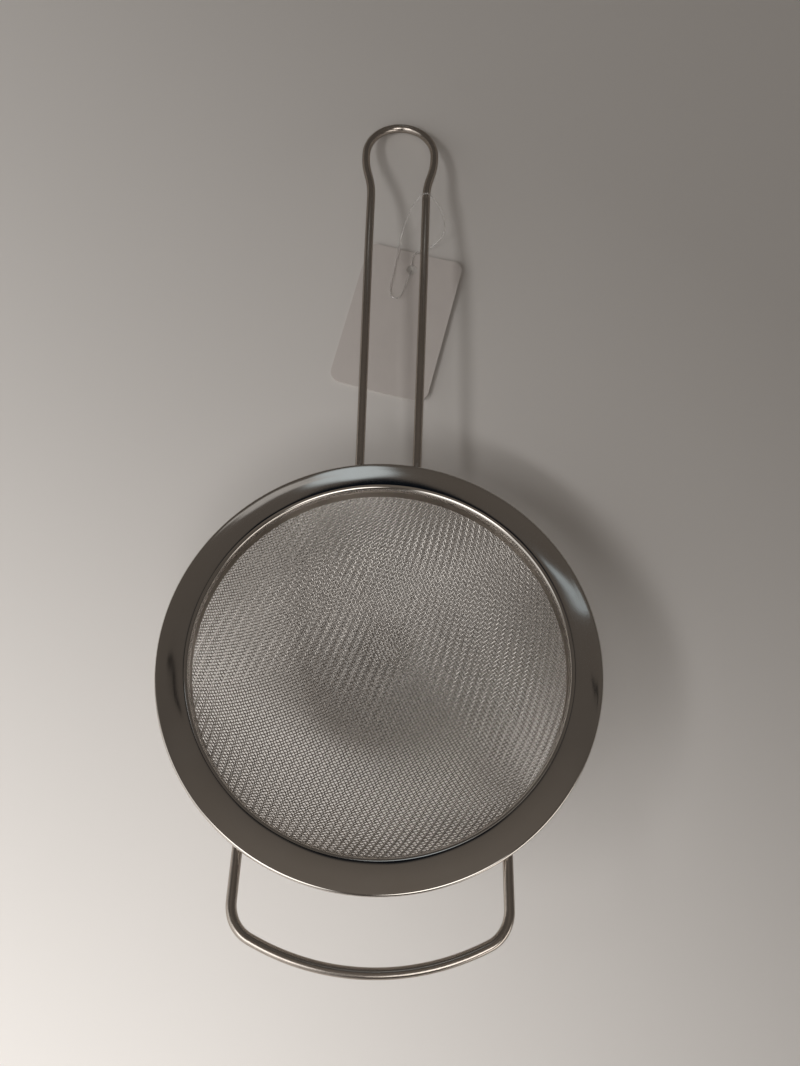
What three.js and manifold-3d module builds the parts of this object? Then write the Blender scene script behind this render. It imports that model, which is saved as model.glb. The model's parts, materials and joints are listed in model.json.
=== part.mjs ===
// A wire-handled mesh strainer, lying on a table on its bowl and on the tip of its handle.
// Millimetres, +Z up, the table at Z = 0. Y runs along the strainer, from the rest loop to the handle's tip.
// The strainer itself is drawn level, with the flange's flat top at Z = 0 round the origin, and then tilted.
import Module from "manifold-3d";
import * as THREE from "three";
import { mergeVertices } from "three/addons/utils/BufferGeometryUtils.js";

const wasm = await Module();
wasm.setup();

// Driving dimensions

const clearance = 0.3; // between pieces that touch

// Rim: a flat flange with a rolled outer edge and a collar turned down inside it
const rimRadius = 70;
const rimSheet = 0.8;
const edgeRadius = 1.0;
const flangeWidth = 10.4;
const collarDepth = 6.2;
const shoulderRadius = 2.6;

// Bowl of woven wire cloth, its edge upright between the collar and the clamp ring.
// A plain grid of openings stands for the weave.
const bowlDepth = 50;
const clothThickness = 0.35;
const clothOpenings = 10; // across the bowl
const clothBar = 6; // between two openings, at the bottom of the bowl
const clothMargin = 2; // left whole under the rim
const clampRingSheet = 0.8;

// Handle: one wire, two legs that rise from the rim and swell into a hanging loop
const handleWire = 3.2;
const legSpacing = 20.4;
const neckSpacing = 22;
const neckReach = 183;
const hangLoopWidth = 28.4;
const hangLoopStart = 211;
const handleReach = 231;
const levelOverhang = 2;
const riseSlope = 0.19;
const crownReach = 185;
const crownHeight = 17;
const tipHeight = 14;

// Rest loop: one wire, two straight legs and an arched bar
const restWire = 3.0;
const restWidth = 76.8;
const restOverhang = 18.4;
const restBarRadius = 75.5;
const restCornerRadius = 10;

// Hang tag, flat on the table under the handle
const tagWidth = 40.5;
const tagLength = 63;
const tagThickness = 0.5;
const tagCornerRadius = 4.5;
const tagHoleRadius = 2.1;
const tagHoleInset = 7.5;
const tagPlace = new THREE.Vector2(1.1, 66.9);
const tagTurn = -13;

// Loop that ties the tag on: out of the tag's hole, over the handle's right leg and back into the hole
const tagLoopDiameter = 0.8;
const tagLoopRoute = [
  [6.65, 90.7, 0.6],
  [6.55, 91.8, 1.02],
  [6.5, 93.1, 1.28],
  [6.6, 94.6, 1.32],
  [7.3, 96.6, 1.3],
  [9.6, 98.5, 1.35],
  [13.4, 100.0, 1.7],
  [16.9, 102.2, 2.8],
  [19.1, 105.0, 5.0],
  [19.3, 107.4, 8.1],
  [18.0, 109.6, 11.9],
  [16.1, 111.2, 14.9],
  [14.4, 112.2, 16.9],
  [12.7, 112.9, 18.46],
  [11.95, 113.05, 18.98],
  [11.05, 113.1, 19.15],
  [10.15, 113.05, 18.98],
  [9.4, 112.9, 18.46],
  [7.9, 112.2, 17.0],
  [6.4, 111.1, 14.8],
  [4.9, 109.6, 12.0],
  [3.4, 107.3, 8.7],
  [1.9, 103.8, 5.0],
  [0.8, 99.1, 2.4],
  [-0.2, 93.1, 1.4],
  [-1.5, 85.5, 1.25],
  [-2.2, 81.3, 1.25],
  [-2.2, 79.2, 1.25],
  [-1.45, 77.5, 1.25],
  [0.25, 76.8, 1.25],
  [1.95, 77.5, 1.25],
  [2.9, 79.3, 1.25],
  [4.0, 82.6, 1.27],
  [5.1, 85.9, 1.3],
  [5.65, 87.4, 1.24],
  [6.0, 88.5, 1.02],
  [6.3, 89.6, 0.62],
];

// Fineness of the facets
const ringSteps = 64;
const wireSides = 8;

// Sizes that follow from these

const collarRadius = rimRadius - flangeWidth;
const clothInner = collarRadius + rimSheet + clearance;
const clothOuter = clothInner + clothThickness;
const clampInner = clothOuter + clearance;
const clampOuter = clampInner + clampRingSheet;
const bowlRise = bowlDepth - collarDepth;
const bowlRadius = (clothOuter ** 2 + bowlRise ** 2) / (2 * bowlRise);
const bowlCentre = bowlRadius - bowlDepth;
const brimArc = bowlRadius * Math.asin(clothOuter / bowlRadius);
const openingPitch = (2 * (brimArc - clothMargin)) / clothOpenings;
const openingSize = openingPitch - clothBar;
const underEdge = -2 * edgeRadius - clearance;
const riseStart = rimRadius + levelOverhang;
const restReach = rimRadius + restOverhang;

// Materials

const steel = (colour, roughness) =>
  new THREE.MeshStandardMaterial({ color: colour, roughness, metalness: 1 });

const materials = {
  rim: steel(0xb9b4ae, 0.16),
  clampRing: steel(0xa9a49d, 0.3),
  cloth: steel(0xa8a39c, 0.35),
  handle: steel(0xada69e, 0.2),
  restLoop: steel(0xb0aaa2, 0.18),
  card: new THREE.MeshStandardMaterial({ color: 0xe6e2dc, roughness: 0.85, metalness: 0 }),
  clearPlastic: new THREE.MeshStandardMaterial({
    color: 0xdfe3e6,
    roughness: 0.15,
    metalness: 0,
    transparent: true,
    opacity: 0.5,
  }),
};

// Shapes

function piece(name, geometry, material) {
  const mesh = new THREE.Mesh(geometry, material);
  mesh.name = name;
  return mesh;
}

// A profile of radius and height, turned about the Z axis.
function turned(profile, steps = ringSteps) {
  return new THREE.LatheGeometry(profile, steps).rotateX(Math.PI / 2);
}

// A closed geometry as a solid that can be cut, without the slivers where a lathe meets its axis.
function toSolid(geometry) {
  const bare = geometry.clone();
  bare.deleteAttribute("normal");
  bare.deleteAttribute("uv");
  const { attributes, index } = mergeVertices(bare);
  const corners = [];
  for (let first = 0; first < index.count; first += 3) {
    const triangle = [0, 1, 2].map((step) => index.getX(first + step));
    if (new Set(triangle).size === 3) corners.push(...triangle);
  }
  const mesh = new wasm.Mesh({
    numProp: 3,
    vertProperties: attributes.position.array,
    triVerts: Uint32Array.from(corners),
  });
  return new wasm.Manifold(mesh);
}

function toGeometry(solid) {
  const { vertProperties, triVerts } = solid.getMesh();
  const geometry = new THREE.BufferGeometry();
  geometry.setAttribute("position", new THREE.BufferAttribute(vertProperties, 3));
  geometry.setIndex(new THREE.BufferAttribute(triVerts, 1));
  geometry.computeVertexNormals();
  return geometry;
}

// A round wire along a list of points.
function wire(points, diameter, steps) {
  const section = new THREE.Shape();
  for (let side = 0; side < wireSides; side += 1) {
    const angle = (2 * Math.PI * side) / wireSides;
    const corner = new THREE.Vector2(Math.cos(angle), Math.sin(angle)).multiplyScalar(diameter / 2);
    if (side === 0) section.moveTo(corner.x, corner.y);
    else section.lineTo(corner.x, corner.y);
  }
  return new THREE.ExtrudeGeometry(section, { steps, extrudePath: new THREE.CatmullRomCurve3(points) });
}

// The nearest a wire's square end comes to the centre when it stops just outside the clamp ring.
function weldReach(offset, diameter) {
  return Math.sqrt(clampOuter ** 2 - (offset - diameter / 2) ** 2) + clearance;
}

function rimProfile() {
  const bend = collarRadius + shoulderRadius;
  const edge = rimRadius - edgeRadius;
  const path = new THREE.Path();
  path.moveTo(collarRadius, -collarDepth);
  path.lineTo(collarRadius + rimSheet, -collarDepth);
  path.absarc(bend, -shoulderRadius, shoulderRadius - rimSheet, Math.PI, Math.PI / 2, true);
  path.lineTo(edge - edgeRadius, -rimSheet);
  path.absarc(edge, -edgeRadius, edgeRadius, -Math.PI, Math.PI / 2, false);
  path.absarc(bend, -shoulderRadius, shoulderRadius, Math.PI / 2, Math.PI, false);
  path.closePath();
  return path.getPoints(3);
}

function clampRingProfile() {
  const path = new THREE.Path();
  path.moveTo(clampInner, -collarDepth);
  path.lineTo(clampOuter, -collarDepth);
  path.lineTo(clampOuter, -shoulderRadius);
  path.lineTo(clampInner, -shoulderRadius);
  path.closePath();
  return path.getPoints();
}

function bowlProfile() {
  const innerRadius = bowlRadius - clothThickness;
  const pole = -Math.PI / 2;
  const path = new THREE.Path();
  path.absarc(0, bowlCentre, bowlRadius, pole, -Math.acos(clothOuter / bowlRadius), false);
  path.lineTo(clothOuter, -shoulderRadius);
  path.lineTo(clothInner, -shoulderRadius);
  path.absarc(0, bowlCentre, innerRadius, -Math.acos(clothInner / innerRadius), pole, true);
  return path.getPoints(6);
}

// Square openings laid over the bowl from its bottom, row by row, as flat cloth is when it is pressed.
function openingGeometries() {
  const bottom = new THREE.Vector3(0, 0, -1);
  const geometries = [];
  for (let column = 0; column < clothOpenings; column += 1) {
    for (let row = 0; row < clothOpenings; row += 1) {
      const x = (column - (clothOpenings - 1) / 2) * openingPitch;
      const y = (row - (clothOpenings - 1) / 2) * openingPitch;
      const run = Math.hypot(x, y);
      if (run > (clothOpenings / 2 - 0.2) * openingPitch) continue;
      const angle = run / bowlRadius;
      const around = Math.atan2(y, x);
      const out = Math.sin(angle);
      const way = new THREE.Vector3(out * Math.cos(around), out * Math.sin(around), -Math.cos(angle));
      geometries.push(
        new THREE.BoxGeometry(openingSize, openingSize, openingSize / 2)
          .translate(0, 0, -bowlRadius)
          .applyQuaternion(new THREE.Quaternion().setFromUnitVectors(bottom, way))
          .translate(0, 0, bowlCentre),
      );
    }
  }
  return geometries;
}

function bowlGeometry() {
  const shell = toSolid(turned(bowlProfile()));
  return toGeometry(openingGeometries().reduce((cloth, opening) => cloth.subtract(toSolid(opening)), shell));
}

// Height of the handle's centreline over its reach: level under the rim, up to the crown, down to the tip.
function handleHeight(reach) {
  const rootHeight = underEdge - handleWire / 2;
  if (reach < riseStart) return rootHeight;
  if (reach < crownReach) {
    const run = crownReach - riseStart;
    const t = (reach - riseStart) / run;
    const rise = (crownHeight - rootHeight) * t * t * (3 - 2 * t);
    return rootHeight + rise + riseSlope * run * t * (1 - t) ** 2;
  }
  const t = (reach - crownReach) / (handleReach - crownReach);
  return crownHeight - (crownHeight - tipHeight) * t * t;
}

function handlePoints() {
  const leg = legSpacing / 2;
  const neck = neckSpacing / 2;
  const loop = hangLoopWidth / 2;
  const root = weldReach(leg, handleWire);
  const flare = (hangLoopStart - neckReach) / 2;
  const plan = new THREE.Path();
  plan.moveTo(leg, root);
  plan.lineTo(neck, neckReach);
  plan.bezierCurveTo(neck, neckReach + flare, loop, hangLoopStart - flare, loop, hangLoopStart);
  plan.absellipse(0, hangLoopStart, loop, handleReach - hangLoopStart, 0, Math.PI, false);
  plan.bezierCurveTo(-loop, hangLoopStart - flare, -neck, neckReach + flare, -neck, neckReach);
  plan.lineTo(-leg, root);
  return plan.getSpacedPoints(90).map((p) => new THREE.Vector3(p.x, p.y, handleHeight(p.y)));
}

function restLoopPoints() {
  const leg = restWidth / 2;
  const root = -weldReach(leg, restWire);
  const height = underEdge - restWire / 2;
  const barCentre = restBarRadius - restReach;
  const cornerX = leg - restCornerRadius;
  const cornerY = barCentre - Math.sqrt((restBarRadius - restCornerRadius) ** 2 - cornerX ** 2);
  const turn = Math.atan2(cornerY - barCentre, cornerX);
  const plan = new THREE.Path();
  plan.moveTo(leg, root);
  plan.lineTo(leg, cornerY);
  plan.absarc(cornerX, cornerY, restCornerRadius, 0, turn, true);
  plan.absarc(0, barCentre, restBarRadius, turn, -Math.PI - turn, true);
  plan.absarc(-cornerX, cornerY, restCornerRadius, -Math.PI - turn, -Math.PI, true);
  plan.lineTo(-leg, root);
  return plan.getSpacedPoints(56).map((p) => new THREE.Vector3(p.x, p.y, height));
}

function cardGeometry() {
  const x = tagWidth / 2 - tagCornerRadius;
  const y = tagLength / 2 - tagCornerRadius;
  const outline = new THREE.Shape();
  outline.absarc(x, y, tagCornerRadius, 0, Math.PI / 2);
  outline.absarc(-x, y, tagCornerRadius, Math.PI / 2, Math.PI);
  outline.absarc(-x, -y, tagCornerRadius, Math.PI, 1.5 * Math.PI);
  outline.absarc(x, -y, tagCornerRadius, 1.5 * Math.PI, 2 * Math.PI);
  outline.closePath();
  const hole = new THREE.Path();
  hole.absarc(0, tagLength / 2 - tagHoleInset, tagHoleRadius, 0, 2 * Math.PI, true);
  outline.holes.push(hole);
  return new THREE.ExtrudeGeometry(outline, { depth: tagThickness, bevelEnabled: false, curveSegments: 6 });
}

// The strainer, level

const strainer = new THREE.Group();
strainer.add(
  piece("rim_band", turned(rimProfile()), materials.rim),
  piece("mesh_clamp_ring", turned(clampRingProfile()), materials.clampRing),
  piece("mesh_bowl", bowlGeometry(), materials.cloth),
  piece("handle_wire", wire(handlePoints(), handleWire, 90), materials.handle),
  piece("rest_loop_wire", wire(restLoopPoints(), restWire, 56), materials.restLoop),
);

// The strainer at rest: tilted until the bowl and the handle's tip touch one plane, then stood on the table

const tipDrop = Math.atan2(tipHeight - bowlCentre, handleReach);
const tipSpan = Math.hypot(handleReach, tipHeight - bowlCentre);
strainer.rotation.x = -(Math.asin((bowlRadius - handleWire / 2) / tipSpan) + tipDrop);
const box = new THREE.Box3().setFromObject(strainer, true);
const middle = box.getCenter(new THREE.Vector3());
strainer.position.set(-middle.x, -middle.y, -box.min.z);

// The tag on the table

const tag = piece("hang_tag", cardGeometry(), materials.card);
tag.position.set(tagPlace.x, tagPlace.y, 0);
tag.rotation.z = THREE.MathUtils.degToRad(tagTurn);

const loopPoints = tagLoopRoute.map((point) => new THREE.Vector3(...point));
const tagLoop = piece("tag_loop", wire(loopPoints, tagLoopDiameter, 84), materials.clearPlastic);

const part = new THREE.Group();
part.add(strainer, tag, tagLoop);

export default part;
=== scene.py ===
"""Dresses a mesh strainer: a woven bowl in a flanged rim, a wire handle, a rest loop and a blank tag."""

import json
import math

import bmesh
import bpy
import numpy as np
from bpy.props import (
    FloatProperty,
    FloatVectorProperty,
    IntProperty,
    IntVectorProperty,
    PointerProperty,
)
from mathutils import Matrix, Vector


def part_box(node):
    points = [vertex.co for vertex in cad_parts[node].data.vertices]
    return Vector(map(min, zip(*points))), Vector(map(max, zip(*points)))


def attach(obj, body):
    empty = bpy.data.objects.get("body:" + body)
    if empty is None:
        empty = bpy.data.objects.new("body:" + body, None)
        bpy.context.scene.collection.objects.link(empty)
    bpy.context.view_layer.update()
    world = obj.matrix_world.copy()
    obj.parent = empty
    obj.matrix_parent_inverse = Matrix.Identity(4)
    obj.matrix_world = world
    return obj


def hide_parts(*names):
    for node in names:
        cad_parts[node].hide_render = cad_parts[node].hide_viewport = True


bl_info = {
    "name": "Mesh Strainer",
    "version": (1, 0, 0),
    "blender": (4, 5, 0),
    "location": "3D View > Sidebar > Strainer",
    "description": "Models a wire mesh strainer on its packed frame",
    "category": "Add Mesh",
}

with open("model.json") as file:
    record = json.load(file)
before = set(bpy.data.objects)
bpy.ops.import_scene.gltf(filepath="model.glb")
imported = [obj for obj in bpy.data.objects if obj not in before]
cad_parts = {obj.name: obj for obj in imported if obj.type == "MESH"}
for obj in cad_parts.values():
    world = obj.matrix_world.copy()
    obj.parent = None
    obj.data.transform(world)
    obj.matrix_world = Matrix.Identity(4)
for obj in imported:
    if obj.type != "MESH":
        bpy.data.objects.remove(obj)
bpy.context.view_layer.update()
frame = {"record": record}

MM = 0.001

# The rim's size, in millimetres, also tells where the strainer rests
RIM_RADIUS = 70.0
EDGE_RADIUS = 1.0

# How finely round shapes are cut, and how near, in metres, two points are one
RIM_STEPS = 192
RING_STEPS = 160
WIRE_SIDES = 20
WOVEN_SIDES = 6
MERGE = 1e-6

# The loom's wires, this thick, lie one unit apart. The twill repeats after four, over two and under two,
# and a wire swings in or out by this share of its radius where it crosses the others
LOOM_WIRE = 0.5
TWILL = 4
SWING = 0.9

# Where the card bends, as shares of its half width and half length, and where its curl starts
CARD_CREASES = (-0.1, 0.1, 0.25, 0.4, 0.55, 0.7, 0.8, 0.9)
CURL_START = 0.1

# Heights between which the collar turns duller and darker than the flange: a less polished finish, with
# painted shade in the recess under the flange
SHADE_AND_DULL_FROM = -1.6 * MM
SHADE_AND_DULL_TO = -3.4 * MM

# The loop that ties the tag on, in millimetres: out of the tag's hole, over the handle's right leg and back
TAG_LOOP_ROUTE = [
    (6.65, 90.7, 0.6),
    (6.55, 91.8, 1.02),
    (6.5, 93.1, 1.28),
    (6.6, 94.6, 1.32),
    (7.3, 96.6, 1.3),
    (9.6, 98.5, 1.35),
    (13.4, 100.0, 1.7),
    (16.9, 102.2, 2.8),
    (19.1, 105.0, 5.0),
    (19.3, 107.4, 8.1),
    (18.0, 109.6, 11.9),
    (16.1, 111.2, 14.9),
    (14.4, 112.2, 16.9),
    (12.7, 112.9, 18.46),
    (11.95, 113.05, 18.98),
    (11.05, 113.1, 19.15),
    (10.15, 113.05, 18.98),
    (9.4, 112.9, 18.46),
    (7.9, 112.2, 17.0),
    (6.4, 111.1, 14.8),
    (4.9, 109.6, 12.0),
    (3.4, 107.3, 8.7),
    (1.9, 103.8, 5.0),
    (0.8, 99.1, 2.4),
    (-0.2, 93.1, 1.4),
    (-1.5, 85.5, 1.25),
    (-2.2, 81.3, 1.25),
    (-2.2, 79.2, 1.25),
    (-1.45, 77.5, 1.25),
    (0.25, 76.8, 1.25),
    (1.95, 77.5, 1.25),
    (2.9, 79.3, 1.25),
    (4.0, 82.6, 1.27),
    (5.1, 85.9, 1.3),
    (5.65, 87.4, 1.24),
    (6.0, 88.5, 1.02),
    (6.3, 89.6, 0.62),
]

# The room's tone from the horizon, 0, to overhead, 1
ROOM_TONES = [
    (0.0, (0.085, 0.078, 0.071)),
    (0.5, (0.1, 0.09, 0.08)),
    (0.66, (0.112, 0.099, 0.087)),
    (0.84, (0.1, 0.089, 0.079)),
    (0.94, (0.16, 0.142, 0.125)),
    (1.0, (0.18, 0.16, 0.14)),
]

# Soft panels and dark flags in the room, in degrees: azimuth from +Y to +X, angle from overhead,
# half width, half height and turn; then the colour
ROOM_PANELS = [
    (235.0, 68.0, 52.0, 28.0, 0.0, (0.95, 0.93, 0.9)),
    (130.0, 80.0, 34.0, 15.0, 0.0, (0.9, 0.86, 0.8)),
    (-4.3, 49.6, 4.4, 6.6, 0.0, (0.62, 0.7, 0.745)),
    (-14.5, 49.2, 7.0, 2.0, 0.0, (0.5, 0.49, 0.48)),
    (-0.4, 36.5, 4.3, 10.0, 0.0, (0.004, 0.006, 0.009)),
    (20.5, 41.5, 7.6, 1.0, 24.6, (0.46, 0.53, 0.575)),
    (-26.2, 36.0, 2.2, 0.7, -24.4, (0.004, 0.004, 0.004)),
    (-21.4, 33.9, 2.9, 0.65, -41.0, (0.004, 0.004, 0.004)),
    (32.0, 36.1, 3.0, 0.6, -12.0, (0.01, 0.01, 0.01)),
]

# Half the table's side, and how far its top lies under the strainer, so that no face meets it
TABLE_REACH = 6.0
TABLE_DROP = 0.2 * MM

# Lamps: place, place on the table that it points to and side, in metres, then power in watts
LAMPS = [
    ((-0.112, -0.33, 0.44), (-0.335, -0.649, 0.0), 0.28, 2.35),
    ((-0.574, -0.25, 0.775), (-1.12, -0.32, 0.0), 0.45, 5.6),
]

LAMP_COLOUR = (1.0, 0.985, 0.965)

# What the lamps look like in the steel: soft glows that light nothing else, given as the panels are
LAMP_GLOWS = [
    (130.0, 80.0, 30.0, 13.0, 0.0, (2.2, 2.1, 1.97)),
    (150.0, 38.0, 21.0, 15.0, 0.0, (2.8, 2.73, 2.62)),
    (226.0, 42.0, 23.0, 18.0, 0.0, (2.6, 2.54, 2.47)),
]


# Settings


def size(label, description, millimetres):
    """A length, given in millimetres."""
    return FloatProperty(
        name=label,
        description=description,
        default=millimetres * MM,
        precision=5,
        unit="LENGTH",
    )


def turn(label, description, degrees):
    """An angle, given in degrees."""
    return FloatProperty(
        name=label,
        description=description,
        default=math.radians(degrees),
        unit="ROTATION",
    )


def tone(label, description, colour):
    """A colour."""
    return FloatVectorProperty(
        name=label,
        description=description,
        default=colour,
        min=0.0,
        max=1.0,
        subtype="COLOR",
    )


def share(label, description, default):
    """A number from 0 to 1."""
    return FloatProperty(
        name=label,
        description=description,
        default=default,
        min=0.0,
        max=1.0,
        subtype="FACTOR",
    )


class StrainerRim(bpy.types.PropertyGroup):
    """The pressed rim and the ring that clamps the cloth under it."""

    radius: size("Radius", "Outermost radius of the rolled edge", RIM_RADIUS)
    flange: size("Flange width", "From the rolled edge to the collar's inner face", 10.4)
    sheet: size("Sheet", "Thickness of the pressed sheet", 0.8)
    edge: size("Edge radius", "Radius of the rolled outer edge", EDGE_RADIUS)
    collar: size("Collar depth", "How far the collar hangs below the flange", 6.2)
    shoulder: size("Shoulder radius", "Bend between the flange and the collar", 1.5)
    seat: size("Seat", "How far below the flange the ring and the cloth stop", 2.6)
    crown: size("Crown", "How far the flange swells above flat", 0.12)
    ring_sheet: size("Ring sheet", "Thickness of the clamp ring", 0.8)
    clearance: size("Clearance", "Gap between pieces that touch", 0.3)
    colour: tone("Steel", "Colour of the polished rim", (0.63, 0.6, 0.57))
    roughness: share("Roughness", "Roughness of the polished rim", 0.07)
    ring_colour: tone("Ring steel", "Colour of the clamp ring", (0.5, 0.47, 0.44))
    ring_roughness: share("Ring roughness", "Roughness of the clamp ring", 0.3)


class StrainerCloth(bpy.types.PropertyGroup):
    """The woven wire cloth of the bowl."""

    depth: size("Bowl depth", "From the flange's top to the bottom of the bowl", 50)
    thickness: size("Thickness", "Thickness that the frame gives the cloth", 0.35)
    wire: size("Wire", "Diameter of the woven wires", 0.44)
    warp_pitch: size("Warp pitch", "From one warp wire to the next", 1.06)
    weft_pitch: size("Weft pitch", "From one weft wire to the next", 1.25)
    warp_turn: turn("Warp turn", "Direction of the warp wires from +X", 32)
    weft_turn: turn("Weft turn", "Direction of the weft wires from +X", -64)
    warp_rows: IntProperty(name="Warp rows", description="Rows each way from the middle", default=81)
    weft_rows: IntProperty(name="Weft rows", description="Rows each way from the middle", default=69)
    colour: tone("Wire steel", "Colour of the woven wires", (0.74, 0.71, 0.68))
    roughness: share("Roughness", "Roughness of the woven wires", 0.19)


class StrainerWires(bpy.types.PropertyGroup):
    """The bent wires of the handle and the rest loop."""

    handle: size("Handle wire", "Diameter of the handle's wire", 3.2)
    leg_spacing: size("Leg spacing", "Between the legs at the rim", 20.4)
    neck_spacing: size("Neck spacing", "Between the legs at the neck", 22)
    neck_reach: size("Neck reach", "From the rim's centre to the neck", 183)
    loop_width: size("Loop width", "Width of the hanging loop, wire centre to centre", 28.4)
    loop_start: size("Loop start", "From the rim's centre to the loop's widest place", 211)
    reach: size("Handle reach", "From the rim's centre to the tip", 231)
    level: size("Level length", "How far the legs run level past the rim", 2)
    crown_reach: size("Crown reach", "From the rim's centre to the handle's highest place", 185)
    crown_height: size("Crown height", "Height of the handle over the flange", 17)
    tip_height: size("Tip height", "Height of the tip over the flange", 14)
    rise: FloatProperty(
        name="Rise",
        description="Slope at which the legs leave the rim",
        default=0.19,
    )
    ease: size("Ease", "Rounding of the wires' square ends", 0.3)
    rest: size("Rest wire", "Diameter of the rest loop's wire", 3.0)
    rest_width: size("Rest width", "Between the rest loop's legs", 76.8)
    rest_overhang: size("Rest overhang", "How far the bar stands out past the rim", 18.4)
    bar_radius: size("Bar radius", "Arch of the rest loop's bar", 75.5)
    corner: size("Corner radius", "Bend between a leg and the bar", 10)
    colour: tone("Steel", "Colour of the bent wires", (0.59, 0.535, 0.485))
    roughness: share("Roughness", "Roughness of the bent wires", 0.2)


class StrainerTag(bpy.types.PropertyGroup):
    """The blank card and the clear loop that ties it on."""

    width: size("Width", "Width of the card", 40.5)
    length: size("Length", "Length of the card", 63)
    thickness: size("Thickness", "Thickness of the card", 0.5)
    corner: size("Corner radius", "Rounding of the card's corners", 4.5)
    hole: size("Hole radius", "Radius of the punched hole", 2.1)
    inset: size("Hole inset", "From the card's top edge to the hole", 7.5)
    place_x: size("Place X", "Middle of the card on the table", 1.1)
    place_y: size("Place Y", "Middle of the card on the table", 66.9)
    turn: turn("Turn", "Turn of the card on the table", -13)
    curl: size("Curl", "How far the card's right edge stands up", 1.7)
    lift: size("Lift", "How far the card's top edge stands up", 0.4)
    loop: size("Loop diameter", "Diameter of the clear loop", 0.5)
    loop_length: size("Loop length", "Length of the clear loop", 105.8)
    colour: tone("Card", "Colour of the card", (0.7, 0.65, 0.622))


class StrainerStage(bpy.types.PropertyGroup):
    """The camera, the table and the light."""

    eye: FloatVectorProperty(
        name="Eye",
        description="Place of the camera",
        default=(0.002053, -0.084185, 0.303466),
        subtype="TRANSLATION",
    )
    look: FloatVectorProperty(
        name="Look",
        description="Turn of the camera",
        default=[math.radians(angle) for angle in (11.6792, -1.0109, 1.912)],
        subtype="EULER",
    )
    image: IntVectorProperty(
        name="Image",
        description="Width and height of the picture",
        default=(800, 1066),
        size=2,
    )
    focal: IntProperty(name="Focal length", description="In pixels", default=800, subtype="PIXEL")
    table: tone("Table", "Colour of the table", (0.78, 0.752, 0.728))


class StrainerSettings(bpy.types.PropertyGroup):
    """All that can be changed about the strainer."""

    rim: PointerProperty(type=StrainerRim)
    cloth: PointerProperty(type=StrainerCloth)
    wires: PointerProperty(type=StrainerWires)
    tag: PointerProperty(type=StrainerTag)
    stage: PointerProperty(type=StrainerStage)


# Shader nodes


class Value:
    """A shader socket that adds Math nodes when it is used in an expression."""

    def __init__(self, nodes, socket):
        self.nodes = nodes
        self.socket = socket

    def math(self, operation, first, second):
        return self.nodes.add("ShaderNodeMath", {"operation": operation}, {0: first, 1: second})

    def __add__(self, other):
        return self.math("ADD", self, other)

    def __mul__(self, other):
        return self.math("MULTIPLY", self, other)

    def __pow__(self, other):
        return self.math("POWER", self, other)


class Nodes:
    """A node tree in the making."""

    def __init__(self, tree):
        self.tree = tree
        tree.nodes.clear()

    def add(self, kind, settings=None, inputs=None, output=0):
        """Adds a node, applies its settings, then sets or links its sockets."""
        node = self.tree.nodes.new(kind)
        for name, setting in (settings or {}).items():
            if name == "stops":
                self.set_stops(node.color_ramp, setting)
            else:
                setattr(node, name, setting)
        for name, value in (inputs or {}).items():
            if isinstance(value, Value):
                self.tree.links.new(value.socket, node.inputs[name])
            else:
                node.inputs[name].default_value = value
        return Value(self, node.outputs[output] if len(node.outputs) else None)

    @staticmethod
    def set_stops(ramp, stops):
        while len(ramp.elements) < len(stops):
            ramp.elements.new(1.0)
        for element, (position, colour) in zip(ramp.elements, stops):
            element.position = position
            element.color = (*colour, 1.0)

    def blend(self, factor, first, second):
        """Colour mix of two colours."""
        colours = [value if isinstance(value, Value) else (*value, 1.0) for value in (first, second)]
        return self.add(
            "ShaderNodeMix",
            {"data_type": "RGBA"},
            {0: factor, 6: colours[0], 7: colours[1]},
            output=2,
        )

    def place(self, matrix=None):
        """Object coordinates, or those carried through a matrix."""
        spot = self.add("ShaderNodeTexCoord", output=3)
        if matrix is None:
            return spot
        return self.add(
            "ShaderNodeMapping",
            {"vector_type": "POINT"},
            {"Vector": spot, "Location": matrix.to_translation(), "Rotation": matrix.to_euler()},
        )

    def noise(self, vector, scale, detail=2.0, rough=0.5):
        return self.add(
            "ShaderNodeTexNoise",
            inputs={"Vector": vector, "Scale": scale, "Detail": detail, "Roughness": rough},
        )

    def surface(self, **sockets):
        shader = self.add("ShaderNodeBsdfPrincipled", inputs=sockets)
        self.add("ShaderNodeOutputMaterial", inputs={"Surface": shader})


def panel_mask(nodes, way, azimuth, zenith, half_width, half_height, turn_by):
    """1 in the middle of an oval of the sky, 0 outside it."""
    azimuth, zenith, turn_by = (math.radians(angle) for angle in (azimuth, zenith, turn_by))
    spin = Matrix.Rotation(-azimuth, 3, "Z") @ Matrix.Rotation(-zenith, 3, "X")
    spin = spin @ Matrix.Rotation(turn_by, 3, "Z")
    middle = spin @ Vector((0.0, 0.0, 1.0))
    across = spin @ Vector((1.0, 0.0, 0.0)) / math.sin(math.radians(half_width))
    along = spin @ Vector((0.0, 1.0, 0.0)) / math.sin(math.radians(half_height))
    front, x, y = (
        nodes.add("ShaderNodeVectorMath", {"operation": "DOT_PRODUCT"}, {0: way, 1: axis}, output=1)
        for axis in (middle, across, along)
    )
    oval = nodes.add(
        "ShaderNodeMapRange",
        {"interpolation_type": "SMOOTHSTEP"},
        {"Value": x * x + y * y, "From Min": 1.0, "From Max": 0.35, "To Min": 0.0, "To Max": 1.0},
    )
    ahead = nodes.add("ShaderNodeMath", {"operation": "GREATER_THAN"}, {0: front, 1: 0.0})
    return oval * ahead


def new_finish(name):
    material = bpy.data.materials.new(name)
    material.use_nodes = True
    return material, Nodes(material.node_tree)


# Finishes


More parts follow.
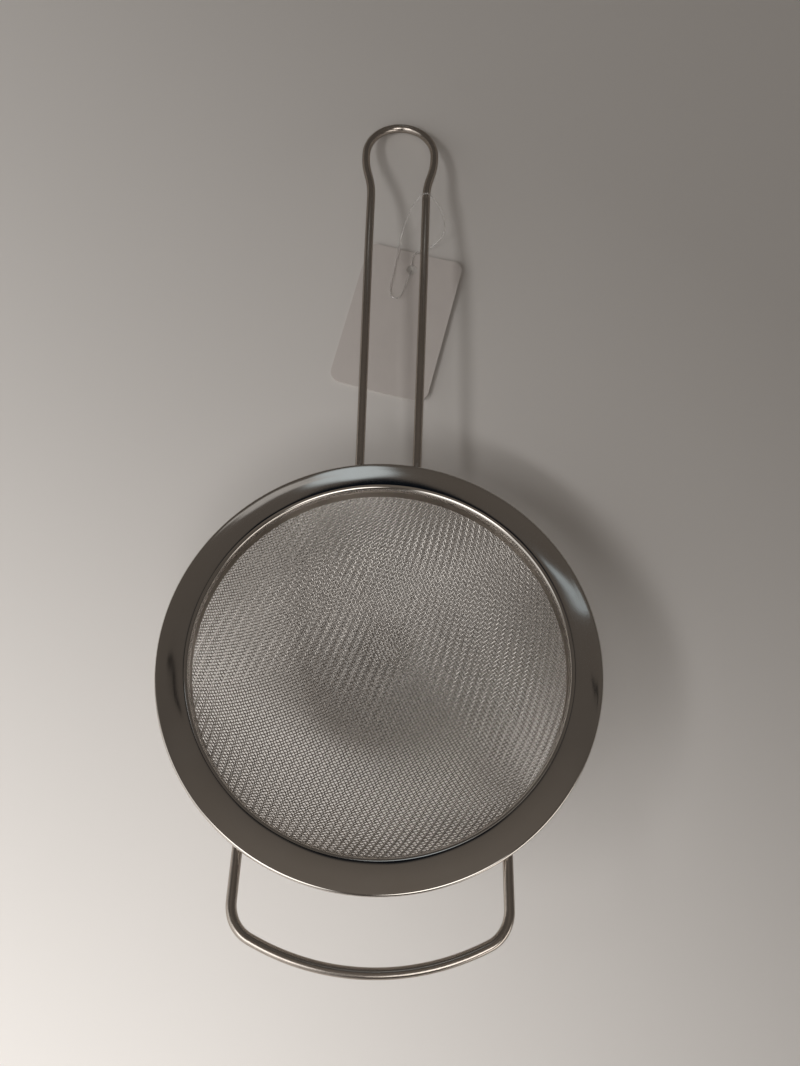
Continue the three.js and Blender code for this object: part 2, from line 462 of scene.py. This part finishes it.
def polished_steel(name, colour, roughness):
    """Bright pressed steel: fine turning lines, faint smudges, a slight ripple, and a duller collar
    darkened with painted shade.
    """
    material, nodes = new_finish(name)
    level = nodes.place(REST.inverted())
    x, y, depth = (
        nodes.add("ShaderNodeSeparateXYZ", inputs={0: level}, output=axis) for axis in range(3)
    )
    radius = (x * x + y * y) ** 0.5
    lines = nodes.add(
        "ShaderNodeTexNoise",
        {"noise_dimensions": "1D"},
        {"W": radius, "Scale": 5200.0, "Detail": 3.0},
    )
    smudge = nodes.noise(level, scale=55.0, detail=4.0, rough=0.6)
    ripple = nodes.noise(level, scale=30.0, detail=1.0)
    warm = tuple(part * shade for part, shade in zip(colour, (0.9, 0.87, 0.83)))
    bright = nodes.blend(smudge, colour, warm)
    # The collar darkens downwards: partly a less polished finish, partly painted shade in the recess under
    # the flange
    dulled_and_shaded = tuple(part * shade for part, shade in zip(colour, (0.74, 0.68, 0.62)))
    low = nodes.add(
        "ShaderNodeMapRange",
        inputs={"Value": depth, "From Min": SHADE_AND_DULL_FROM, "From Max": SHADE_AND_DULL_TO},
    )
    nodes.surface(
        **{
            "Base Color": nodes.blend(low, bright, dulled_and_shaded),
            "Metallic": 1.0,
            "Roughness": smudge * 0.08 + lines * 0.04 + low * 0.35 + (roughness - 0.06),
            "Normal": nodes.add(
                "ShaderNodeBump",
                inputs={"Strength": 1.0, "Distance": 0.0003, "Height": ripple + lines * 0.004},
            ),
        }
    )
    return material


def drawn_steel(name, colour, roughness):
    """Drawn wire: bright, with soft clouds and faint pits."""
    material, nodes = new_finish(name)
    spot = nodes.place()
    cloud = nodes.noise(spot, scale=90.0, detail=3.0)
    pits = nodes.noise(spot, scale=1500.0, detail=2.0, rough=0.7)
    dull = tuple(part * 0.78 for part in colour)
    nodes.surface(
        **{
            "Base Color": nodes.blend(cloud, colour, dull),
            "Specular Tint": (0.4, 0.36, 0.32, 1.0),
            "Metallic": 1.0,
            "Roughness": cloud * 0.12 + pits * 0.06 + (roughness - 0.08),
            "Normal": nodes.add(
                "ShaderNodeBump",
                inputs={"Strength": 0.25, "Distance": 0.00006, "Height": pits},
            ),
        }
    )
    return material


def woven_steel(name, colour, roughness):
    """Fine wire: the tone drifts a little over the bowl."""
    material, nodes = new_finish(name)
    drift = nodes.noise(nodes.place(), scale=45.0, detail=2.0)
    dull = tuple(part * 0.82 for part in colour)
    nodes.surface(
        **{
            "Base Color": nodes.blend(drift, colour, dull),
            "Metallic": 1.0,
            "Roughness": drift * 0.12 + (roughness - 0.06),
        }
    )
    return material


def matt_card(name, colour):
    """Uncoated card with fibres and a slightly uneven tone."""
    material, nodes = new_finish(name)
    spot = nodes.place()
    cloud = nodes.noise(spot, scale=120.0, detail=4.0)
    fibre = nodes.noise(spot, scale=2600.0, detail=3.0, rough=0.65)
    shade = tuple(part * 0.93 for part in colour)
    nodes.surface(
        **{
            "Base Color": nodes.blend(cloud, colour, shade),
            "Roughness": fibre * 0.1 + 0.72,
            "Normal": nodes.add(
                "ShaderNodeBump",
                inputs={"Strength": 0.3, "Distance": 0.00005, "Height": fibre},
            ),
        }
    )
    return material


def clear_plastic(name):
    """Clear drawn plastic."""
    material, nodes = new_finish(name)
    nodes.surface(
        **{
            "Base Color": (0.88, 0.87, 0.86, 1.0),
            "Roughness": 0.12,
            "IOR": 1.45,
            "Transmission Weight": 0.85,
        }
    )
    return material


# Shapes


def resting_place(rim_radius, edge_radius):
    """Carries the level strainer, its flange's top at z = 0, to where the frame has it."""
    normal = Vector(frame["record"]["mounts"][0]["axis"]).normalized()
    tilt = math.atan2(normal.y, normal.z)
    low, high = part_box("rim_band")
    drop = (rim_radius - edge_radius) * math.sin(tilt) + edge_radius
    edge_middle = Vector((0.0, (low[1] + high[1]) / 2, high[2] - drop))
    return Matrix.Translation(edge_middle + normal * edge_radius) @ Matrix.Rotation(-tilt, 4, "X")


REST = resting_place(RIM_RADIUS * MM, EDGE_RADIUS * MM)


def keep(bm, name, material, nodes, matrix=None, sharp=35):
    """Makes a finished bmesh a piece of the object that stands for these nodes of the frame."""
    if matrix is not None:
        bm.transform(matrix)
    mesh = bpy.data.meshes.new(name)
    for face in bm.faces:
        face.smooth = True
    bm.to_mesh(mesh)
    bm.free()
    mesh.set_sharp_from_angle(angle=math.radians(sharp))
    mesh.materials.append(material)
    piece = bpy.data.objects.new(name, mesh)
    bpy.context.scene.collection.objects.link(piece)
    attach(piece, "root")
    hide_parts(*nodes)
    return piece


def chain(bm, points):
    """A chain of edges through points of radius and height, in the plane that a spin turns."""
    verts = [bm.verts.new((radius, 0.0, height)) for radius, height in points]
    for start, end in zip(verts, verts[1:]):
        bm.edges.new((start, end))
    return verts


def rounded(bm, verts, offset, segments):
    """Rounds the corners of an outline."""
    bmesh.ops.bevel(
        bm,
        geom=verts,
        offset=offset,
        offset_type="OFFSET",
        affect="VERTICES",
        segments=segments,
        profile=0.5,
        material=-1,
    )


def turned(bm, steps):
    """Spins what is in the bmesh a full turn about Z."""
    bmesh.ops.spin(
        bm,
        geom=bm.verts[:] + bm.edges[:],
        cent=(0.0, 0.0, 0.0),
        axis=(0.0, 0.0, 1.0),
        angle=2 * math.pi,
        steps=steps,
        use_merge=True,
    )
    bmesh.ops.remove_doubles(bm, verts=bm.verts[:], dist=MERGE)
    bmesh.ops.recalc_face_normals(bm, faces=bm.faces[:])


def frames_along(points):
    """Matrices that carry a ring round the Z axis along a line of points without twisting it."""
    ways = [
        (after - before).normalized()
        for before, after in zip([points[0], *points[:-1]], [*points[1:], points[-1]])
    ]
    spin = Vector((0.0, 0.0, 1.0)).rotation_difference(ways[0])
    frames = []
    for point, way, last in zip(points, ways, [ways[0], *ways]):
        spin = last.rotation_difference(way) @ spin
        frames.append(Matrix.Translation(point) @ spin.to_matrix().to_4x4())
    return frames


def swept_wire(points, diameter, ease):
    """A round wire along a line of points, its ends closed and eased."""
    bm = bmesh.new()
    ring = bmesh.ops.create_circle(bm, segments=WIRE_SIDES, radius=diameter / 2)["verts"]
    frames = frames_along(points)
    bmesh.ops.transform(bm, matrix=frames[0], verts=ring)
    edges = bm.edges[:]
    for here, there in zip(frames, frames[1:]):
        made = bmesh.ops.extrude_edge_only(bm, edges=edges)["geom"]
        ring = [item for item in made if isinstance(item, bmesh.types.BMVert)]
        edges = [item for item in made if isinstance(item, bmesh.types.BMEdge)]
        bmesh.ops.transform(bm, matrix=there @ here.inverted(), verts=ring)
    ends = [edge for edge in bm.edges if edge.is_boundary]
    bmesh.ops.holes_fill(bm, edges=ends)
    bmesh.ops.bevel(
        bm, geom=ends, offset=ease, affect="EDGES", segments=3, profile=0.5, material=-1
    )
    bmesh.ops.recalc_face_normals(bm, faces=bm.faces[:])
    return bm


def clamp_inner(settings):
    """Inner radius of the clamp ring: collar, cloth and the gaps between them."""
    rim = settings.rim
    return rim.radius - rim.flange + rim.sheet + 2 * rim.clearance + settings.cloth.thickness


def weld_reach(settings, offset, diameter):
    """How far from the centre a wire's square end stops, where it meets the clamp ring."""
    ring = clamp_inner(settings) + settings.rim.ring_sheet
    return math.sqrt(ring**2 - (offset - diameter / 2) ** 2)


def arc(centre, radii, start, end, count):
    """Points of an ellipse's arc in plan, angles in radians."""
    return [
        (
            centre[0] + radii[0] * math.cos(start + (end - start) * step / count),
            centre[1] + radii[1] * math.sin(start + (end - start) * step / count),
        )
        for step in range(count + 1)
    ]


def straight(start, end, count):
    """Points of a straight line in plan."""
    return [
        tuple(a + (b - a) * step / count for a, b in zip(start, end)) for step in range(count + 1)
    ]


def flare(start, pull, end, count):
    """Points of a curve in plan that leaves start and meets end along Y, after a pull each way."""
    points = []
    for step in range(count + 1):
        t = step / count
        bow = 3 * t * t - 2 * t**3
        y = (1 - t) ** 3 * start[1] + 3 * (1 - t) ** 2 * t * (start[1] + pull)
        y += 3 * (1 - t) * t * t * (end[1] - pull) + t**3 * end[1]
        points.append((start[0] + (end[0] - start[0]) * bow, y))
    return points


def handle_height(settings, reach):
    """Height of the handle's centreline: level under the rim, up to the crown, down to the tip."""
    wires, rim = settings.wires, settings.rim
    root = -2 * rim.edge - rim.clearance - wires.handle / 2
    rise_start = rim.radius + wires.level
    if reach < rise_start:
        return root
    if reach < wires.crown_reach:
        run = wires.crown_reach - rise_start
        t = (reach - rise_start) / run
        rise = (wires.crown_height - root) * t * t * (3 - 2 * t)
        return root + rise + wires.rise * run * t * (1 - t) ** 2
    t = (reach - wires.crown_reach) / (wires.reach - wires.crown_reach)
    return wires.crown_height - (wires.crown_height - wires.tip_height) * t * t


def handle_points(settings):
    """The middle of the handle's wire: legs, neck and hanging loop."""
    wires = settings.wires
    leg, neck, loop = wires.leg_spacing / 2, wires.neck_spacing / 2, wires.loop_width / 2
    root = weld_reach(settings, leg, wires.handle)
    pull = (wires.loop_start - wires.neck_reach) / 2
    side = straight((leg, root), (neck, wires.neck_reach), count=60)
    side += flare((neck, wires.neck_reach), pull, (loop, wires.loop_start), count=16)[1:]
    tip = (loop, wires.reach - wires.loop_start)
    side += arc((0.0, wires.loop_start), tip, 0.0, math.pi / 2, count=22)[1:]
    plan = side + [(-x, y) for x, y in reversed(side[:-1])]
    return [Vector((x, y, handle_height(settings, y))) for x, y in plan]


def rest_loop_points(settings):
    """The middle of the rest loop's wire: legs, corners and arched bar."""
    wires, rim = settings.wires, settings.rim
    leg = wires.rest_width / 2
    root = -weld_reach(settings, leg, wires.rest)
    height = -2 * rim.edge - rim.clearance - wires.rest / 2
    bar_middle = wires.bar_radius - rim.radius - wires.rest_overhang
    corner_x = leg - wires.corner
    corner_y = bar_middle - math.sqrt((wires.bar_radius - wires.corner) ** 2 - corner_x**2)
    bend = math.atan2(corner_y - bar_middle, corner_x)
    side = straight((leg, root), (leg, corner_y), count=12)
    side += arc((corner_x, corner_y), (wires.corner, wires.corner), 0.0, bend, count=14)[1:]
    bar = (wires.bar_radius, wires.bar_radius)
    side += arc((0.0, bar_middle), bar, bend, -math.pi / 2, count=24)[1:]
    plan = side + [(-x, y) for x, y in reversed(side[:-1])]
    return [Vector((x, y, height)) for x, y in plan]


def loom_row(name, rows, steps):
    """Straight round wires along X, one to each unit of Y, ringed at each unit of X."""
    bm = bmesh.new()
    bmesh.ops.create_circle(bm, segments=WOVEN_SIDES, radius=LOOM_WIRE / 2)
    bmesh.ops.rotate(bm, verts=bm.verts[:], matrix=Matrix.Rotation(math.pi / 2, 3, "Y"))
    bmesh.ops.translate(bm, verts=bm.verts[:], vec=(-steps, -rows, 0.0))
    bmesh.ops.spin(
        bm,
        geom=bm.verts[:] + bm.edges[:],
        cent=(0.0, 0.0, 0.0),
        axis=(1.0, 0.0, 0.0),
        dvec=(1.0, 0.0, 0.0),
        angle=0.0,
        steps=2 * steps,
    )
    bmesh.ops.recalc_face_normals(bm, faces=bm.faces[:])
    mesh = bpy.data.meshes.new(name)
    bm.to_mesh(mesh)
    bm.free()
    row = bpy.data.objects.new(name, mesh)
    bpy.context.scene.collection.objects.link(row)
    array = row.modifiers.new("row", "ARRAY")
    array.use_relative_offset = False
    array.use_constant_offset = True
    array.constant_offset_displace = (0.0, 1.0, 0.0)
    array.count = 2 * rows + 1
    drawn = row.evaluated_get(bpy.context.evaluated_depsgraph_get())
    bm = bmesh.new()
    bm.from_mesh(drawn.to_mesh())
    drawn.to_mesh_clear()
    bpy.data.objects.remove(row)
    bpy.data.meshes.remove(mesh)
    return bm


def cloth_place(cloth, radius, warp, weft):
    """Where two rows cross on the flat disc that the bowl unrolls to.

    The cloth's wires keep their length when it is pressed into a dome, so its squares shear instead.
    """
    shear = 1 / (6 * radius**2)
    u, v = warp * cloth.warp_pitch, weft * cloth.weft_pitch
    across, along = u * (1 + shear * v * v), v * (1 + shear * u * u)
    x = across * math.cos(cloth.weft_turn) + along * math.cos(cloth.warp_turn)
    y = across * math.sin(cloth.weft_turn) + along * math.sin(cloth.warp_turn)
    return x, y


# Operators


class STRAINER_OT_stage(bpy.types.Operator):
    """Set up the camera, the table and the light"""

    bl_idname = "strainer.stage"
    bl_label = "Stage"

    def execute(self, context):
        stage = context.scene.strainer.stage
        self.add_camera(context, stage)
        self.add_table(context, stage)
        self.add_world(context)
        for lamp in LAMPS:
            self.add_lamp(context, *lamp)
        context.scene.view_settings.view_transform = "Standard"
        return {"FINISHED"}

    @staticmethod
    def add_camera(context, stage):
        lens = bpy.data.cameras.new("camera")
        lens.sensor_width = 36.0
        lens.lens = lens.sensor_width * stage.focal / max(stage.image)
        lens.clip_start = 0.01
        lens.clip_end = 50.0
        camera = bpy.data.objects.new("camera", lens)
        camera.location = stage.eye
        camera.rotation_euler = stage.look
        context.scene.collection.objects.link(camera)
        context.scene.camera = camera

    @staticmethod
    def add_table(context, stage):
        bm = bmesh.new()
        bmesh.ops.create_grid(bm, x_segments=1, y_segments=1, size=TABLE_REACH)
        mesh = bpy.data.meshes.new("table")
        bm.to_mesh(mesh)
        bm.free()
        material, nodes = new_finish("table")
        cloud = nodes.noise(nodes.place(), scale=6.0)
        shade = tuple(part * 0.97 for part in stage.table)
        nodes.surface(
            **{"Base Color": nodes.blend(cloud, tuple(stage.table), shade), "Roughness": 0.6}
        )
        mesh.materials.append(material)
        table = bpy.data.objects.new("table", mesh)
        table.location.z = -TABLE_DROP
        context.scene.collection.objects.link(table)

    @staticmethod
    def add_world(context):
        world = bpy.data.worlds.new("room")
        world.use_nodes = True
        context.scene.world = world
        nodes = Nodes(world.node_tree)
        way = nodes.add("ShaderNodeTexCoord", output=0)
        height = nodes.add("ShaderNodeSeparateXYZ", inputs={0: way}, output=2)
        room = nodes.add("ShaderNodeValToRGB", {"stops": ROOM_TONES}, {0: height})
        for *shape, colour in ROOM_PANELS:
            room = nodes.blend(panel_mask(nodes, way, *shape), room, colour)
        mirrored = nodes.add("ShaderNodeLightPath", output="Is Glossy Ray")
        for *shape, colour in LAMP_GLOWS:
            room = nodes.blend(panel_mask(nodes, way, *shape) * mirrored, room, colour)
        sky = nodes.add("ShaderNodeBackground", inputs={"Color": room, "Strength": 1.0})
        nodes.add("ShaderNodeOutputWorld", inputs={"Surface": sky})

    @staticmethod
    def add_lamp(context, place, aim, side, power):
        light = bpy.data.lights.new("lamp", "AREA")
        light.size = side
        light.energy = power
        light.color = LAMP_COLOUR
        lamp = bpy.data.objects.new("lamp", light)
        lamp.visible_glossy = False
        lamp.location = place
        lamp.rotation_euler = (Vector(aim) - Vector(place)).to_track_quat("-Z", "Y").to_euler()
        context.scene.collection.objects.link(lamp)


class STRAINER_OT_tag(bpy.types.Operator):
    """Add the blank punched card"""

    bl_idname = "strainer.tag"
    bl_label = "Tag"

    def execute(self, context):
        tag = context.scene.strainer.tag
        bm = bmesh.new()
        bmesh.ops.create_grid(bm, x_segments=1, y_segments=1, size=0.5)
        bmesh.ops.scale(bm, verts=bm.verts[:], vec=(tag.width, tag.length, 1.0))
        rounded(bm, bm.verts[:], tag.corner, segments=8)
        bmesh.ops.delete(bm, geom=bm.faces[:], context="FACES_ONLY")
        hole = bmesh.ops.create_circle(bm, segments=32, radius=tag.hole)["verts"]
        bmesh.ops.translate(bm, verts=hole, vec=(0.0, tag.length / 2 - tag.inset, 0.0))
        bmesh.ops.triangle_fill(bm, edges=bm.edges[:], use_beauty=True)
        for part in CARD_CREASES:
            self.crease(bm, (part * tag.width / 2, 0.0, 0.0), (1.0, 0.0, 0.0))
            self.crease(bm, (0.0, part * tag.length / 2, 0.0), (0.0, 1.0, 0.0))
        made = bmesh.ops.extrude_face_region(bm, geom=bm.faces[:], use_keep_orig=True)["geom"]
        top = [item for item in made if isinstance(item, bmesh.types.BMVert)]
        bmesh.ops.translate(bm, verts=top, vec=(0.0, 0.0, tag.thickness))
        bmesh.ops.recalc_face_normals(bm, faces=bm.faces[:])
        for v in bm.verts:
            across, along = v.co.x / (tag.width / 2), v.co.y / (tag.length / 2)
            v.co.z += tag.curl * max(0.0, (across - CURL_START) / (1 - CURL_START)) ** 2
            v.co.z += tag.lift * max(0.0, along) ** 2
        spot = Matrix.Translation((tag.place_x, tag.place_y, 0.0))
        place = spot @ Matrix.Rotation(tag.turn, 4, "Z")
        keep(bm, "tag_card", matt_card("card", tag.colour), ["hang_tag"], place)
        return {"FINISHED"}

    @staticmethod
    def crease(bm, spot, way):
        """Cuts the flat card across, so that it can bend there."""
        flat = bm.verts[:] + bm.edges[:] + bm.faces[:]
        bmesh.ops.bisect_plane(bm, geom=flat, dist=MERGE, plane_co=spot, plane_no=way)


class STRAINER_OT_tag_loop(bpy.types.Operator):
    """Add the clear loop that ties the tag to the handle"""

    bl_idname = "strainer.tag_loop"
    bl_label = "Tag Loop"

    def execute(self, context):
        tag = context.scene.strainer.tag
        curve = bpy.data.curves.new("clear_loop", "CURVE")
        curve.dimensions = "3D"
        curve.bevel_depth = tag.loop / 2
        curve.bevel_resolution = 3
        curve.use_fill_caps = True
        curve.resolution_u = 6
        spline = curve.splines.new("BEZIER")
        spline.bezier_points.add(len(TAG_LOOP_ROUTE) - 1)
        for knot, point in zip(spline.bezier_points, TAG_LOOP_ROUTE):
            knot.co = Vector(point) * MM
            knot.handle_left_type = knot.handle_right_type = "AUTO"
        curve.materials.append(clear_plastic("clear_plastic"))
        loop = bpy.data.objects.new("clear_loop", curve)
        context.scene.collection.objects.link(loop)
        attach(loop, "root")
        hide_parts("tag_loop")
        return {"FINISHED"}


class STRAINER_OT_rim(bpy.types.Operator):
    """Add the pressed rim: collar, shoulder, flange and rolled edge"""

    bl_idname = "strainer.rim"
    bl_label = "Rim"

    def execute(self, context):
        rim = context.scene.strainer.rim
        inner = rim.radius - rim.flange
        land_start, land_end = inner + rim.shoulder, rim.radius - rim.edge
        bm = bmesh.new()
        land = [
            (land_start + (land_end - land_start) * t, 4 * rim.crown * t * (1 - t))
            for t in (0.12, 0.25, 0.38, 0.5, 0.62, 0.75, 0.88)
        ]
        curl = [
            (rim.radius, 0.0),
            (rim.radius, -2 * rim.edge),
            (rim.radius - 2 * rim.edge, -2 * rim.edge),
            (rim.radius - 2 * rim.edge, -0.95 * rim.edge),
        ]
        fall = 4 * rim.crown * rim.shoulder / (land_end - land_start)
        verts = chain(bm, [(inner, -rim.collar), (inner, -fall), *land, *curl])
        rounded(bm, verts[1:2], rim.shoulder, segments=10)
        rounded(bm, verts[-4:-1], 0.98 * rim.edge, segments=8)
        turned(bm, RIM_STEPS)
        piece = keep(
            bm,
            "rim",
            polished_steel("polished_steel", rim.colour, rim.roughness),
            ["rim_band"],
            REST,
        )
        wall = piece.modifiers.new("sheet", "SOLIDIFY")
        wall.thickness = rim.sheet
        wall.offset = -1.0
        wall.use_even_offset = True
        return {"FINISHED"}


class STRAINER_OT_clamp_ring(bpy.types.Operator):
    """Add the plain band that clamps the cloth against the collar"""

    bl_idname = "strainer.clamp_ring"
    bl_label = "Clamp Ring"

    def execute(self, context):
        settings = context.scene.strainer
        rim = settings.rim
        inner = clamp_inner(settings)
        outer = inner + rim.ring_sheet
        bm = bmesh.new()
        verts = chain(
            bm,
            [
                (inner, -rim.collar),
                (outer, -rim.collar),
                (outer, -rim.seat),
                (inner, -rim.seat),
            ],
        )
        bm.edges.new((verts[-1], verts[0]))
        rounded(bm, verts, 0.3 * rim.ring_sheet, segments=3)
        turned(bm, RING_STEPS)
        keep(
            bm,
            "clamp_ring",
            polished_steel("plain_steel", rim.ring_colour, rim.ring_roughness),
            ["mesh_clamp_ring"],
            REST,
        )
        return {"FINISHED"}


class STRAINER_OT_cloth(bpy.types.Operator):
    """Weave the wire cloth in twill and press it into the bowl"""

    bl_idname = "strainer.cloth"
    bl_label = "Wire Cloth"

    def execute(self, context):
        settings = context.scene.strainer
        cloth = settings.cloth
        steel = woven_steel("wire_cloth", cloth.colour, cloth.roughness)
        bowl = self.bowl(settings)
        for name, warp in (("warp_wires", True), ("weft_wires", False)):
            rows = (cloth.warp_rows, cloth.weft_rows) if warp else (cloth.weft_rows, cloth.warp_rows)
            bm = loom_row(name, *rows)
            x, y = self.lay(cloth, bowl, np.array([v.co for v in bm.verts]), warp)
            far = np.hypot(x, y) > bowl["disc"]
            outside = [v for v, out in zip(bm.verts, far) if out]
            bmesh.ops.delete(bm, geom=outside, context="VERTS")
            ends = [edge for edge in bm.edges if edge.is_boundary]
            bmesh.ops.holes_fill(bm, edges=ends)
            bmesh.ops.recalc_face_normals(bm, faces=bm.faces[:])
            piece = keep(bm, name, steel, ["mesh_bowl"], sharp=80)
            self.press(piece.data, cloth, bowl, warp)
        return {"FINISHED"}

    @staticmethod
    def bowl(settings):
        """The bowl's sphere, through the middle of the cloth, and the flat disc that fills it."""
        cloth, rim = settings.cloth, settings.rim
        wall = rim.radius - rim.flange + rim.sheet + rim.clearance
        outer = wall + cloth.thickness
        rise = cloth.depth - rim.collar
        radius = (outer**2 + rise**2) / (2 * rise)
        middle = radius - cloth.depth
        radius -= (1 + SWING) * cloth.wire / 2
        edge = wall + cloth.thickness / 2
        brim = math.asin(edge / radius) * radius
        return {
            "radius": radius,
            "middle": middle,
            "edge": edge,
            "brim": brim,
            "collar": rim.collar,
            "disc": brim + rim.collar - rim.seat,
        }

    @staticmethod
    def lay(cloth, bowl, loom, warp, ahead=0.0):
        """Flat places of the middles of the loom's wires, or of places ahead along them."""
        own, other = np.round(loom[:, 1]), np.round(loom[:, 0]) + ahead
        rows = (own, other) if warp else (other, own)
        return cloth_place(cloth, bowl["radius"], *rows)

    @staticmethod
    def bend(bowl, x, y, lift):
        """Bends flat places, lifted towards the inside, into the bowl."""
        run, around = np.hypot(x, y), np.arctan2(y, x)
        angle = np.minimum(run, bowl["brim"]) / bowl["radius"]
        out = (bowl["radius"] - lift) * np.sin(angle)
        height = bowl["middle"] - (bowl["radius"] - lift) * np.cos(angle)
        upright = run > bowl["brim"]
        out[upright] = bowl["edge"] - lift[upright]
        height[upright] = run[upright] - bowl["brim"] - bowl["collar"]
        return np.column_stack((out * np.cos(around), out * np.sin(around), height))

    def press(self, mesh, cloth, bowl, warp):
        """Takes the loom's straight wires over two and under two of the others and into the bowl."""
        radius, loom_radius = cloth.wire / 2, LOOM_WIRE / 2
        loom = np.empty(len(mesh.vertices) * 3)
        mesh.vertices.foreach_get("co", loom)
        loom = loom.reshape(-1, 3)
        swing = SWING * radius if warp else -SWING * radius
        steps = np.round(loom[:, 0]) + np.round(loom[:, 1])

        def line(ahead, place, above=0.0):
            phase = np.abs((steps + ahead - 0.5) % TWILL - TWILL / 2) - TWILL / 4
            return self.bend(bowl, *place, swing * np.clip(2 * phase, -1, 1) + above)

        before, place, after = (self.lay(cloth, bowl, loom, warp, ahead) for ahead in (-0.5, 0.0, 0.5))
        middle = line(0.0, place)
        along = line(0.5, after) - line(-0.5, before)
        along /= np.linalg.norm(along, axis=1)[:, None]
        side = np.cross(line(0.0, place, radius) - middle, along)
        side /= np.linalg.norm(side, axis=1)[:, None]
        up = np.cross(along, side)
        across = (loom[:, 1] - np.round(loom[:, 1])) * radius / loom_radius
        rise = loom[:, 2] * radius / loom_radius
        pressed = middle + across[:, None] * side + rise[:, None] * up
        mesh.vertices.foreach_set("co", pressed.ravel())
        mesh.transform(REST)
        corners = np.empty(len(mesh.loops), dtype=np.int32)
        mesh.loops.foreach_get("vertex_index", corners)
        margin = 1.01
        spread = np.column_stack(place)[corners] / (2 * margin * bowl["disc"]) + 0.5
        mesh.uv_layers.new(name="OFBake").data.foreach_set("uv", spread.ravel())
        mesh.update()


class STRAINER_OT_wires(bpy.types.Operator):
    """Bend the wires of the handle and the rest loop"""

    bl_idname = "strainer.wires"
    bl_label = "Handle and Rest Loop"

    def execute(self, context):
        settings = context.scene.strainer
        wires = settings.wires
        steel = drawn_steel("wire_steel", wires.colour, wires.roughness)
        bm = swept_wire(handle_points(settings), wires.handle, wires.ease)
        keep(bm, "handle", steel, ["handle_wire"], REST)
        bm = swept_wire(rest_loop_points(settings), wires.rest, wires.ease)
        keep(bm, "rest_loop", steel, ["rest_loop_wire"], REST)
        return {"FINISHED"}


class STRAINER_PT_pieces(bpy.types.Panel):
    """Lists the strainer's pieces"""

    bl_idname = "STRAINER_PT_pieces"
    bl_label = "Mesh Strainer"
    bl_space_type = "VIEW_3D"
    bl_region_type = "UI"
    bl_category = "Strainer"

    def draw(self, context):
        for operator in OPERATORS:
            self.layout.operator(operator.bl_idname)


OPERATORS = (
    STRAINER_OT_stage,
    STRAINER_OT_tag,
    STRAINER_OT_tag_loop,
    STRAINER_OT_rim,
    STRAINER_OT_clamp_ring,
    STRAINER_OT_cloth,
    STRAINER_OT_wires,
)
CLASSES = (
    StrainerRim,
    StrainerCloth,
    StrainerWires,
    StrainerTag,
    StrainerStage,
    StrainerSettings,
    *OPERATORS,
    STRAINER_PT_pieces,
)


def register():
    for cls in CLASSES:
        bpy.utils.register_class(cls)
    bpy.types.Scene.strainer = PointerProperty(type=StrainerSettings)


def unregister():
    del bpy.types.Scene.strainer
    for cls in reversed(CLASSES):
        bpy.utils.unregister_class(cls)


def main():
    register()
    bpy.ops.strainer.stage()
    bpy.ops.strainer.tag()
    bpy.ops.strainer.tag_loop()
    bpy.ops.strainer.rim()
    bpy.ops.strainer.clamp_ring()
    bpy.ops.strainer.cloth()
    bpy.ops.strainer.wires()


if __name__ == "__main__":
    main()
